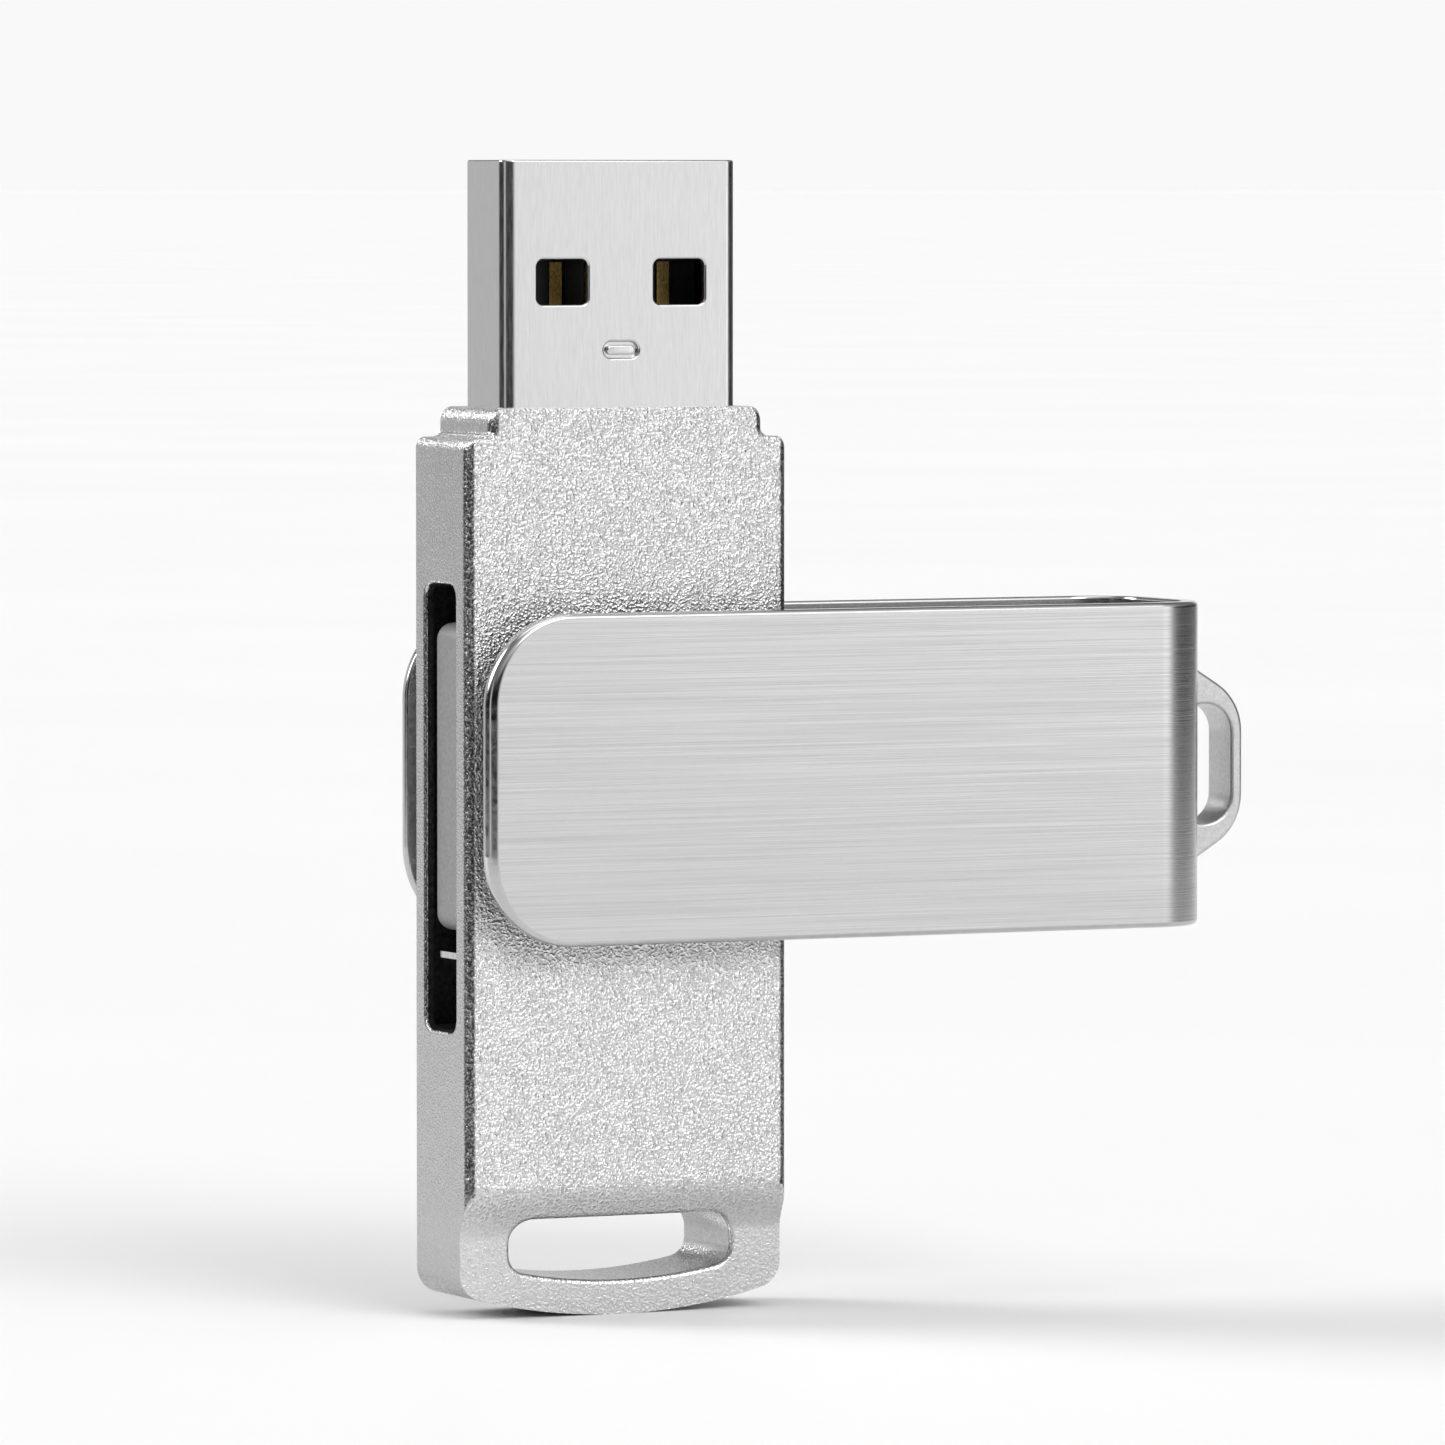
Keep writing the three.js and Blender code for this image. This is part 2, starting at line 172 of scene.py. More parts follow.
# The loop's foot, which goes through a slightly wider hole in the cap's end wall.
TENON_HALF = (0.7 * MM, 2 * MM)
TENON_ROOM = 0.02 * MM
TENON_EDGE = 0.06 * MM

# The cord loop, wide at its base on the cap and narrow at its end.
LOOP_HALF_BASE = 5 * MM
LOOP_HALF_END = 3 * MM
LOOP_CORNER = 2.7 * MM
LOOP_BASE_CORNER = 0.3 * MM
LOOP_BASE = 0.45 * MM
LOOP_SIDE = 0.6 * MM
LOOP_HOLE_HALF = 2.87 * MM
LOOP_HOLE_CORNER = 1.4 * MM
LOOP_HOLE_BASE_CORNER = 0.6 * MM
LOOP_RIM = 0.2 * MM
LOOP_HOLE_RIM = 0.15 * MM

# The hub: a block with a round boss each way and a square hole for the studs' keys.
HUB_HALF_Y = 1.4 * MM
HUB_CORNER = 0.8 * MM
HUB_RIM = 0.3 * MM
BOSS_RADIUS = 3.6 * MM
BOSS_RIM = 0.1 * MM
BOSS_STEPS = 72
KEY_HALF = 1.36 * MM


# ---------------------------------------------------------------- outlines

def rounded(corners, steps=ARC_STEPS):
    """Points of a polygon whose corners are (a, b, radius), counter-clockwise."""
    points = []
    for i, (a, b, radius) in enumerate(corners):
        here = Vector((a, b))
        if radius == 0:
            points.append(here)
            continue
        before = (Vector(corners[i - 1][:2]) - here).normalized()
        after = (Vector(corners[(i + 1) % len(corners)][:2]) - here).normalized()
        half = before.angle(after) / 2
        centre = here + (before + after).normalized() * (radius / math.sin(half))
        start = here + before * (radius / math.tan(half)) - centre
        turn = math.pi - 2 * half
        if before.cross(after) > 0:
            turn = -turn
        for k in range(steps + 1):
            points.append(centre + Matrix.Rotation(turn * k / steps, 2) @ start)
    return points


def box_outline(half_a, low, high, radius, steps=ARC_STEPS):
    corners = [(-half_a, low), (half_a, low), (half_a, high), (-half_a, high)]
    return rounded([(a, b, radius) for a, b in corners], steps)


def circle(radius, middle_b, steps):
    turns = (2 * math.pi * k / steps for k in range(steps))
    return [Vector((math.cos(t), math.sin(t))) * radius + Vector((0, middle_b)) for t in turns]


def sag(a, radius, low):
    """Height of an arc that dips to low at a = 0."""
    return low + radius - math.sqrt(radius * radius - a * a)


def sag_arc(half, radius, low, steps):
    return [(a, sag(a, radius, low), 0) for a in
            (half * (2 * k / steps - 1) for k in range(steps + 1))]


def outward(points):
    """The miter vector at each point: moving by it shifts both neighbouring edges outward by 1."""
    result = []
    for i, here in enumerate(points):
        along_in = (here - points[i - 1]).normalized()
        along_out = (points[(i + 1) % len(points)] - here).normalized()
        normal_in = Vector((along_in.y, -along_in.x))
        normal_out = Vector((along_out.y, -along_out.x))
        result.append((normal_in + normal_out) / (1 + normal_in.dot(normal_out)))
    return result


def body_outline():
    side = (BODY_HIGH.x - BODY_LOW.x) / 2
    low, top = BODY_LOW.z, BODY_HIGH.z
    shoulder = top - NECK_STEP
    corner = sag(side, FOOT_RADIUS, low)
    return rounded([
        *sag_arc(side - FOOT_END, FOOT_RADIUS, low, LONG_ARC_STEPS),
        (side, corner, FOOT_CORNER),
        (side, shoulder, SHOULDER_CORNER),
        (NECK_HALF, shoulder, NECK_FILLET),
        (NECK_HALF, top, NECK_CORNER),
        (-NECK_HALF, top, NECK_CORNER),
        (-NECK_HALF, shoulder, NECK_FILLET),
        (-side, shoulder, SHOULDER_CORNER),
        (-side, corner, FOOT_CORNER),
    ])


def lanyard_outline():
    corner = sag(LANYARD_HALF, LANYARD_ARCH, LANYARD_BOTTOM)
    return rounded([
        *sag_arc(LANYARD_HALF - LANYARD_CORNER, LANYARD_ARCH, LANYARD_BOTTOM, LANYARD_ARCH_STEPS),
        (LANYARD_HALF, corner, LANYARD_LOW_CORNER),
        (LANYARD_HALF, LANYARD_TOP, LANYARD_CORNER),
        (-LANYARD_HALF, LANYARD_TOP, LANYARD_CORNER),
        (-LANYARD_HALF, corner, LANYARD_LOW_CORNER),
    ])


# ---------------------------------------------------------------- meshes

def along_x(a, b, depth):
    return Vector((depth, a, b))


def along_y(a, b, depth):
    return Vector((a, depth, b))


def loft(rings, second_bands=()):
    """A closed mesh through rings of equal length, with a flat face at each end.

    second_bands numbers the bands of faces that take the object's second material."""
    bm = bmesh.new()
    rows = [[bm.verts.new(p) for p in ring] for ring in rings]
    count = len(rows[0])
    for band, (lower, upper) in enumerate(zip(rows, rows[1:])):
        for i in range(count):
            j = (i + 1) % count
            face = bm.faces.new((lower[i], lower[j], upper[j], upper[i]))
            face.material_index = int(band in second_bands)
    bm.faces.new(rows[0][::-1])
    bm.faces.new(rows[-1])
    bmesh.ops.recalc_face_normals(bm, faces=bm.faces)
    return bm


def plate_rings(outline, start, end, rim, place, steps=RIM_STEPS):
    """Rings of a plate whose rims are rounded inward.

    rim is a radius, or a function of the outward direction and the side (0 start, 1 end)."""
    def radius(miter, side):
        return rim(miter.normalized(), side) if callable(rim) else rim
    miters = outward(outline)
    rings = []
    for side, face, into in ((0, start, 1), (1, end, -1)):
        rows = []
        for k in range(steps + 1):
            turn = math.pi / 2 * k / steps
            ring = []
            for point, miter in zip(outline, miters):
                r = radius(miter, side)
                moved = point - miter * r * (1 - math.sin(turn))
                ring.append(place(*moved, face + into * r * (1 - math.cos(turn))))
            rows.append(ring)
        rings += rows if side == 0 else rows[::-1]
    return rings


def cutter_rings(outline, start, end, place, start_rim=0, end_rim=0, steps=RIM_STEPS):
    """Rings of a cutting tool that leaves a rounded rim in the faces at start and end."""
    def flare(face, rim, into):
        rows = [(face - into * CLEAR, rim)]
        for k in range(steps + 1):
            turn = math.pi / 2 * k / steps
            rows.append((face + into * rim * (1 - math.cos(turn)), rim * (1 - math.sin(turn))))
        return rows
    rows = flare(start, start_rim, 1) if start_rim else [(start, 0)]
    rows += flare(end, end_rim, -1)[::-1] if end_rim else [(end, 0)]
    miters = outward(outline)
    return [[place(*(point + miter * growth), depth) for point, miter in zip(outline, miters)]
            for depth, growth in rows]


def new_object(bm, name, *materials):
    mesh = bpy.data.meshes.new(name)
    bm.to_mesh(mesh)
    bm.free()
    for material in materials:
        mesh.materials.append(material)
    piece = bpy.data.objects.new(name, mesh)
    bpy.context.scene.collection.objects.link(piece)
    return piece


def combine(piece, tools, operation="DIFFERENCE"):
    """Cuts the tools from the piece, or joins them to it, and removes them."""
    for tool in tools:
        step = piece.modifiers.new("combine", "BOOLEAN")
        step.operation = operation
        step.solver = "EXACT"
        step.material_mode = "TRANSFER"
        step.object = tool
        bpy.context.view_layer.update()
        scene_state = bpy.context.evaluated_depsgraph_get()
        result = bpy.data.meshes.new_from_object(piece.evaluated_get(scene_state))
        piece.modifiers.remove(step)
        spent = piece.data
        piece.data = result
        bpy.data.meshes.remove(spent)
        bpy.data.objects.remove(tool)
    return piece


def slice_mesh(bm, point, normal):
    """Adds an edge loop where a plane meets the mesh."""
    bmesh.ops.bisect_plane(bm, geom=bm.verts[:] + bm.edges[:] + bm.faces[:],
                           plane_co=point, plane_no=normal, dist=SAME_POINT)


def split_across(piece, places):
    """Adds edge loops at the given x, so that a rounded rim's shading stays beside the rim."""
    bm = bmesh.new()
    bm.from_mesh(piece.data)
    for x in places:
        slice_mesh(bm, (x, 0, 0), (1, 0, 0))
    bm.to_mesh(piece.data)
    bm.free()


def smooth(piece, sharp_angle=35):
    """Smooth shading, sharp past an angle, with flat faces kept flat beside rounded rims."""
    mesh = piece.data
    mesh.polygons.foreach_set("use_smooth", [True] * len(mesh.polygons))
    mesh.set_sharp_from_angle(angle=math.radians(sharp_angle))
    weighting = piece.modifiers.new("flat_faces_stay_flat", "WEIGHTED_NORMAL")
    weighting.keep_sharp = True
    weighting.weight = 100
    return piece


def finish_piece(piece, body, slot, *nodes):
    smooth(piece)
    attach(piece, body)
    if nodes:
        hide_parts(*nodes)
    return piece


def soft_box(low, high, edge, steps=3):
    """A box with rounded edges, from corner to corner."""
    bm = bmesh.new()
    bmesh.ops.create_cube(bm, size=1)
    size = high - low
    for vert in bm.verts:
        vert.co = Vector(low[i] + (vert.co[i] + 0.5) * size[i] for i in range(3))
    bmesh.ops.bevel(bm, geom=bm.edges, offset=edge, segments=steps, profile=0.5, affect="EDGES")
    return bm


# ---------------------------------------------------------------- materials

class NodeKit:
    """Short calls for the nodes that the finishes and the studio light share."""

    def __init__(self, tree):
        self.nodes, self.links = tree.nodes, tree.links

    def link(self, output, socket):
        self.links.new(output, socket)

    def split(self, vector):
        node = self.nodes.new("ShaderNodeSeparateXYZ")
        self.link(vector, node.inputs["Vector"])
        return node.outputs

    def maths(self, operation, *inputs):
        node = self.nodes.new("ShaderNodeMath")
        node.operation = operation
        for socket, value in zip(node.inputs, inputs):
            if isinstance(value, (int, float)):
                socket.default_value = value
            else:
                self.link(value, socket)
        return node.outputs[0]

    def eased(self, value, start, end):
        """0 at start, 1 at end, with a smooth rise between."""
        node = self.nodes.new("ShaderNodeMapRange")
        node.interpolation_type = "SMOOTHSTEP"
        self.link(value, node.inputs["Value"])
        node.inputs["From Min"].default_value = start
        node.inputs["From Max"].default_value = end
        return node.outputs["Result"]

    def ramp(self, factor, stops):
        """Maps a factor through (position, grey or colour) stops."""
        ramp = self.nodes.new("ShaderNodeValToRGB")
        elements = ramp.color_ramp.elements
        while len(elements) < len(stops):
            elements.new(0.5)
        for element, (position, colour) in zip(elements, stops):
            element.position = position
            grey = isinstance(colour, (int, float))
            element.color = (colour, colour, colour, 1) if grey else (*colour, 1)
        self.link(factor, ramp.inputs["Fac"])
        return ramp.outputs["Color"]


class Paint(NodeKit):
    """A node material."""

    def __init__(self, name):
        self.material = bpy.data.materials.new(name)
        self.material.use_nodes = True
        super().__init__(self.material.node_tree)
        self.shader = self.nodes["Principled BSDF"]
        self.place = self.nodes.new("ShaderNodeTexCoord").outputs["Object"]

    def set(self, **values):
        """Sets shader inputs by name, with _ for a space."""
        for key, value in values.items():
            self.shader.inputs[key.replace("_", " ")].default_value = value

    def noise(self, stretch, detail=2.0, roughness=0.5):
        """Noise whose grain is 1/stretch metres along X, Y and Z."""
        mapping = self.nodes.new("ShaderNodeMapping")
        mapping.inputs["Scale"].default_value = stretch
        self.link(self.place, mapping.inputs["Vector"])
        noise = self.nodes.new("ShaderNodeTexNoise")
        noise.inputs["Scale"].default_value = 1
        noise.inputs["Detail"].default_value = detail
        noise.inputs["Roughness"].default_value = roughness
        self.link(mapping.outputs["Vector"], noise.inputs["Vector"])
        return noise.outputs["Fac"]

    def mix(self, first, second, factor=0.5, kind="MIX"):
        mix = self.nodes.new("ShaderNodeMix")
        mix.data_type = "RGBA"
        mix.blend_type = kind
        if isinstance(factor, (int, float)):
            mix.inputs["Factor"].default_value = factor
        else:
            self.link(factor, mix.inputs["Factor"])
        self.link(first, mix.inputs["A"])
        self.link(second, mix.inputs["B"])
        return mix.outputs["Result"]

    def bump(self, height, distance, strength=1.0):
        bump = self.nodes.new("ShaderNodeBump")
        bump.inputs["Strength"].default_value = strength
        bump.inputs["Distance"].default_value = distance
        self.link(height, bump.inputs["Height"])
        self.link(bump.outputs["Normal"], self.shader.inputs["Normal"])

    def facing(self, axis):
        """How far the surface faces along an axis, either way, from 0 to 1."""
        normal = self.nodes.new("ShaderNodeTexCoord").outputs["Normal"]
        return self.maths("ABSOLUTE", self.split(normal)[axis])

    def height(self):
        """Height above the floor, in the rest pose."""
        return self.split(self.place)["Z"]

    def span(self, share, low, high):
        """Goes from low to high as share goes from 0 to 1."""
        return self.maths("ADD", self.maths("MULTIPLY", share, high - low), low)

    def colour(self, output):
        self.link(output, self.shader.inputs["Base Color"])

    def rough(self, output):
        self.link(output, self.shader.inputs["Roughness"])


def per_mm(x, y=None, z=None):
    """A noise stretch from grains per millimetre."""
    return tuple(1000 * v for v in (x, x if y is None else y, x if z is None else z))


def cast_metal():
    """Bead-blasted cast metal, calmer on its sides and foot, with painted shade darkening its sides and a painted
    dark reflection along its upright edges.
    """
    paint = Paint("cast_metal")
    paint.set(Metallic=1.0)
    across = paint.facing("X")
    above_foot = paint.eased(paint.height(), RAMP_BOTTOM, RAMP_TOP)
    side = paint.eased(across, 0.75, 0.98)
    # The edge mask picks the rounded upright edges above the foot, for a painted dark reflection.
    edge = paint.maths("MULTIPLY", paint.eased(across, 0.1, 0.35), paint.eased(across, 0.998, 0.95))
    upright = paint.eased(paint.facing("Z"), 0.4, 0.1)
    edge = paint.maths("MULTIPLY", edge, paint.maths("MULTIPLY", above_foot, upright))
    relief = paint.maths("MULTIPLY", paint.span(side, 1, 0.25), paint.span(above_foot, 0.35, 1))
    grain = paint.noise(per_mm(8.5), detail=1.5, roughness=0.5)
    cloud = paint.noise(per_mm(0.35), detail=2)
    blasted = paint.ramp(grain, [(0.36, 0.53), (0.5, 0.67), (0.64, 0.83)])
    # Painted shade: the side faces take a darker colour than the front and back. Their silkier roughness and lower
    # relief are the finish.
    shaded_side = paint.ramp(grain, [(0.35, 0.43), (0.65, 0.49)])
    calm = paint.ramp(grain, [(0.35, 0.54), (0.65, 0.6)])
    # A near-black colour that paints a dark reflection on those rounded edges.
    painted_dark_reflection = paint.ramp(grain, [(0.42, 0.05), (0.68, 0.32)])
    patches = paint.ramp(cloud, [(0.3, 0.96), (0.7, 1.0)])
    finish = paint.mix(calm, blasted, above_foot)
    # Mixes in the painted shade on the sides and the painted dark reflection on the edges.
    finish = paint.mix(paint.mix(finish, shaded_side, side), painted_dark_reflection, edge)
    paint.colour(paint.mix(finish, patches, 1, "MULTIPLY"))
    dull = paint.ramp(grain, [(0.3, 0.32), (0.7, 0.22)])
    silky = paint.ramp(grain, [(0.3, 0.3), (0.7, 0.22)])
    paint.rough(paint.mix(dull, silky, side))
    paint.bump(paint.maths("MULTIPLY", grain, relief), 0.12 * MM)
    return paint.material


def satin_cast():
    """The loop's finer and smoother casting."""
    paint = Paint("satin_cast")
    paint.set(Metallic=1.0)
    grain = paint.noise(per_mm(7), detail=3)
    paint.colour(paint.ramp(grain, [(0.3, 0.46), (0.7, 0.55)]))
    paint.rough(paint.ramp(grain, [(0.3, 0.36), (0.7, 0.28)]))
    paint.bump(grain, 0.012 * MM)
    return paint.material


# Painted shade: a near-black metal for surfaces inside the slots and the hub's room, and a dark line at the
# lanyard hole's front rim.
def painted_shade_metal():
    paint = Paint("painted_shade_metal")
    paint.set(Metallic=0.6)
    grain = paint.noise(per_mm(5), detail=3)
    paint.colour(paint.ramp(grain, [(0.35, 0.012), (0.7, 0.045)]))
    paint.rough(paint.ramp(grain, [(0.3, 0.75), (0.7, 0.55)]))
    paint.bump(grain, 0.05 * MM, 0.6)
    return paint.material


def brushed_metal(name, stretch, low, high, rough, lift):
    """Steel brushed along the axis in which the noise is stretched, with lift as its relief."""
    paint = Paint(name)
    paint.set(Metallic=1.0)
    lines = paint.noise(stretch, detail=4, roughness=0.65)
    broad = paint.noise(tuple(v * 0.3 for v in stretch), detail=2)
    both = paint.mix(lines, broad, 0.12)
    paint.colour(paint.ramp(both, [(0.32, low), (0.68, high)]))
    paint.rough(paint.ramp(lines, [(0.3, rough + 0.07), (0.7, rough - 0.05)]))
    paint.bump(lines, lift)
    return paint.material


def polished_steel():
    paint = Paint("polished_steel")
    paint.set(Metallic=1.0)
    lines = paint.noise(per_mm(0.6, 6, 0.6), detail=3)
    paint.colour(paint.ramp(lines, [(0.3, 0.42), (0.7, 0.6)]))
    paint.rough(paint.ramp(lines, [(0.3, 0.24), (0.7, 0.14)]))
    return paint.material


def gold_plate():
    paint = Paint("gold_plate")
    paint.set(Metallic=0.55)
    grain = paint.noise(per_mm(9, 9, 3.5), detail=4, roughness=0.7)
    paint.colour(paint.ramp(grain, [(0.34, (0.5, 0.29, 0.06)), (0.6, (1.0, 0.74, 0.26))]))
    paint.rough(paint.ramp(grain, [(0.3, 0.36), (0.7, 0.2)]))
    paint.bump(grain, 0.008 * MM, 0.5)
    return paint.material


def moulded(name, dark, light, rough, grain_per_mm=6.0):
    """Moulded plastic or resin with a fine grain."""
    paint = Paint(name)
    grain = paint.noise(per_mm(grain_per_mm), detail=3)
    paint.colour(paint.ramp(grain, [(0.3, dark), (0.7, light)]))
    paint.rough(paint.ramp(grain, [(0.3, rough + 0.08), (0.7, rough - 0.06)]))
    paint.bump(grain, 0.01 * MM, 0.4)
    return paint.material


def make_materials():
    return {
        "cast_metal": cast_metal(),
        "satin_cast": satin_cast(),
        # Near-black metal that paints shade into the cavities.
        "painted_shade_metal": painted_shade_metal(),
        "brushed_steel": brushed_metal(
            "brushed_steel", per_mm(0.07, 0.07, 24), 0.42, 0.57, 0.21, 0.0018 * MM),
        "steel_edge": brushed_metal("steel_edge", per_mm(2.5), 0.46, 0.52, 0.13, 0.0005 * MM),
        "plug_steel": brushed_metal(
            "plug_steel", per_mm(17, 17, 0.9), 0.51, 0.56, 0.19, 0.0005 * MM),
        "polished_steel": polished_steel(),
        "gold_plate": gold_plate(),
        "black_plastic": moulded("black_plastic", (0.006, 0.006, 0.008), (0.016, 0.016, 0.02), 0.35),
        "grey_plastic": moulded("grey_plastic", 0.2, 0.26, 0.42),
        "dark_nylon": moulded("dark_nylon", 0.02, 0.045, 0.5),
        "board_green": moulded("board_green", (0.004, 0.05, 0.016), (0.012, 0.1, 0.034), 0.35, 3.0),
        "chip_resin": moulded("chip_resin", 0.01, 0.024, 0.55, 9.0),
        "capacitor_ceramic": moulded("capacitor_ceramic", (0.26, 0.16, 0.08), (0.4, 0.28, 0.16), 0.5),
    }


# ---------------------------------------------------------------- body

def body_place(a, b, depth):
    """For outlines of the broad face: (across from the body's middle, height), carried along Y."""
    return Vector((BODY_X + a, depth, b))


def plug_place(a, b, depth):
    """For outlines seen from above: (across from the body's middle, y), carried along Z."""
    return Vector((BODY_X + a, b, depth))


def ramp_step(z):
    """How far the front face has stepped back at height z, easing in and out of the ramp."""
    part = min(max((RAMP_TOP - z) / (RAMP_TOP - RAMP_BOTTOM), 0), 1)
    return RAMP_DEPTH * part * part * (3 - 2 * part)


def ramp_heights():
    return [RAMP_TOP + (RAMP_BOTTOM - RAMP_TOP) * k / RAMP_SLICES for k in range(RAMP_SLICES + 1)]


def follow_ramp(bm, front_limit):
    """Slices the ramp's band and moves everything in front of front_limit back by the ramp."""
    for height in ramp_heights():
        slice_mesh(bm, (0, 0, height), (0, 0, 1))
    for vert in bm.verts:
        if vert.co.y < front_limit:
            vert.co.y += ramp_step(vert.co.z)


def ramp_cutter(materials):
    """Everything in front of the ramp and the foot's front face."""
    front = BODY_LOW.y - CLEAR
    under = BODY_LOW.z - CLEAR
    face = [(BODY_LOW.y + ramp_step(z) - RAMP_SKIN, z) for z in ramp_heights()]
    outline = [*face, (BODY_LOW.y + RAMP_DEPTH, under), (front, under), (front, RAMP_TOP)]
    rings = [[along_x(y, z, x) for y, z in outline] for x in (BODY_LOW.x - CLEAR, BODY_HIGH.x + CLEAR)]
    return new_object(loft(rings), "ramp_cutter", materials["cast_metal"])


def body_edge(outward_way, side):
    """The edge radius: wide on the sides, fine along the shoulders, in between on the foot."""
    share = abs(outward_way.x) ** 2
    flat_edge = BODY_TOP_EDGE if outward_way.y > 0 else BODY_FOOT_EDGE
    return flat_edge + (BODY_EDGE - flat_edge) * share


def body_blank(materials):
    rings = plate_rings(
        body_outline(), BODY_LOW.y, BODY_HIGH.y, body_edge, body_place, BODY_RIM_STEPS)
    return new_object(loft(rings), "body_casting", materials["cast_metal"])


def lanyard_cutter(materials):
    rings = cutter_rings(
        lanyard_outline(), BODY_LOW.y, BODY_HIGH.y, body_place, LANYARD_RIM, LANYARD_RIM)
    # The last band of the hole's front rim takes the painted shade, a dark line round the hole.
    bm = loft(rings, [RIM_STEPS])
    follow_ramp(bm, BODY_LOW.y + LANYARD_RIM + RAMP_SKIN)
    return new_object(bm, "lanyard_cutter", materials["cast_metal"], materials["painted_shade_metal"])


def neck_cutter(materials):
    half_x = (PLUG_HIGH.x - PLUG_LOW.x) / 2 + FIT
    half_y = PLUG_HIGH.y + FIT
    outline = box_outline(half_x, -half_y, half_y, PLUG_CORNER)
    rings = cutter_rings(outline, POCKET_FLOOR, BODY_HIGH.z, plug_place, 0, NECK_RIM)
    return new_object(loft(rings), "neck_cutter", materials["cast_metal"])


def slot_cutters(materials):
    """The two side slots, each with a rounded rim in its narrow face."""
    tools = []
    outline = box_outline(SLOT_HALF, SLOT_BOTTOM, SLOT_TOP, SLOT_CORNER)
    for side, face in (("left", BODY_LOW.x), ("right", BODY_HIGH.x)):
        inward = 1 if side == "left" else -1
        limits = (face, face + inward * SLOT_DEPTH)
        rims = (SLOT_RIM, 0)
        if side == "right":
            limits, rims = limits[::-1], rims[::-1]
        rings = cutter_rings(outline, *limits, along_x, *rims)
        # Each slot's inner wall takes the painted shade; its rim keeps the cast metal.
        wall_band = [RIM_STEPS + 1] if side == "left" else [0]
        tools.append(new_object(loft(rings, wall_band), f"{side}_slot_cutter",
                                materials["cast_metal"], materials["painted_shade_metal"]))
    return tools


def plain_cutter(outline, front, back, material):
    """A prism from y = front to y = back, whose outline is measured from the body's middle."""
    rings = [[body_place(*point, y) for point in outline] for y in (front, back)]
    return new_object(loft(rings), "plain_cutter", material)


def chamber_cutter(materials):
    """The hub's room: a disc and a tunnel, less the spring's pad and the side walls."""
    # The whole room round the hub is lined with the painted shade.
    dark = materials["painted_shade_metal"]
    x, y = CHAMBER_HALF_X, CHAMBER_HALF_Y
    pad_x, pad_y = SPRING_PAD_HALF
    reach = CHAMBER_RADIUS + CLEAR
    sides = box_outline(x, PIVOT_Z - reach, PIVOT_Z + reach, 0)
    tunnel = box_outline(x, CHAMBER_BOTTOM, CHAMBER_TOP, 0)
    spring_pad = box_outline(pad_x, CHAMBER_BOTTOM - CLEAR, SPRING_PAD_TOP, 0)
    tool = plain_cutter(circle(CHAMBER_RADIUS, PIVOT_Z, CHAMBER_STEPS), -y, y, dark)
    combine(tool, [plain_cutter(sides, -y - CLEAR, y + CLEAR, dark)], "INTERSECT")
    combine(tool, [plain_cutter(tunnel, -y, y, dark)], "UNION")
    combine(tool, [plain_cutter(spring_pad, -pad_y, pad_y, dark)])
    return tool


def pivot_cutter(materials):
    outline = circle(PIVOT_HOLE, PIVOT_Z, PIVOT_STEPS)
    return plain_cutter(outline, BODY_LOW.y - CLEAR, BODY_HIGH.y + CLEAR, materials["cast_metal"])


def make_body(materials):
    body = body_blank(materials)
    combine(body, [
        ramp_cutter(materials), lanyard_cutter(materials), neck_cutter(materials),
        chamber_cutter(materials), *slot_cutters(materials), pivot_cutter(materials),
    ])
    split_across(body, (BODY_LOW.x + BESIDE_RIM, BODY_HIGH.x - BESIDE_RIM))
    return finish_piece(body, "drive", "cast_metal", "body_shell")


# ---------------------------------------------------------------- plug

def make_plug(materials):
    steel = materials["plug_steel"]
    half_x = (PLUG_HIGH.x - PLUG_LOW.x) / 2
    half_y = PLUG_HIGH.y
    outer = box_outline(half_x, -half_y, half_y, PLUG_CORNER)
    inner = box_outline(half_x - PLUG_WALL, PLUG_WALL - half_y, half_y - PLUG_WALL,
                        PLUG_CORNER - PLUG_WALL)
    rings = plate_rings(outer, PLUG_LOW.z, PLUG_HIGH.z, PLUG_RIM, plug_place)
    sleeve = new_object(loft(rings), "plug_sleeve", steel)
    rings = cutter_rings(
        inner, PLUG_LOW.z, PLUG_HIGH.z, plug_place, PLUG_BORE_RIM, PLUG_BORE_RIM)
    bore = new_object(loft(rings), "bore_cutter", steel)
    combine(sleeve, [bore, *window_cutters(steel), dimple_cutter(steel)])
    combine(sleeve, [dimple_pad(steel)], "UNION")
    return finish_piece(sleeve, "drive", "plug_steel", "plug_shell")


def window_cutters(steel):
    """Four windows, two in each broad wall, with a small rounded lip outside."""
    width, height = WINDOW_SIZE
    low = PLUG_HIGH.z - WINDOW_DROP - height / 2
    centred = box_outline(width / 2, low, low + height, WINDOW_CORNER)
    tools = []
    for x in (-WINDOW_X, WINDOW_X):
        outline = [point + Vector((x, 0)) for point in centred]
        rings = cutter_rings(
            outline, PLUG_LOW.y, PLUG_HIGH.y, body_place, WINDOW_LIP, WINDOW_LIP)
        tools.append(new_object(loft(rings), "window_cutter", steel))
    return tools


def pad_outline(shrink):
    width, height = PAD_SIZE[0] - 2 * shrink, PAD_SIZE[1] - 2 * shrink
    low = PLUG_HIGH.z - PAD_DROP - height / 2
    return box_outline(width / 2, low, low + height, height * PAD_ROUNDNESS)


def dimple_cutter(steel):
    floor = PLUG_LOW.y + DIMPLE_DEPTH
    rings = cutter_rings(pad_outline(0), PLUG_LOW.y, floor, body_place, DIMPLE_RIM, 0)
    return new_object(loft(rings), "dimple_cutter", steel)


def dimple_pad(steel):
    front, back = (PLUG_LOW.y + reach for reach in PAD_REACH)
    rings = plate_rings(pad_outline(PAD_GAP), front, back, PAD_RIM, body_place)
    return new_object(loft(rings), "dimple_pad", steel)


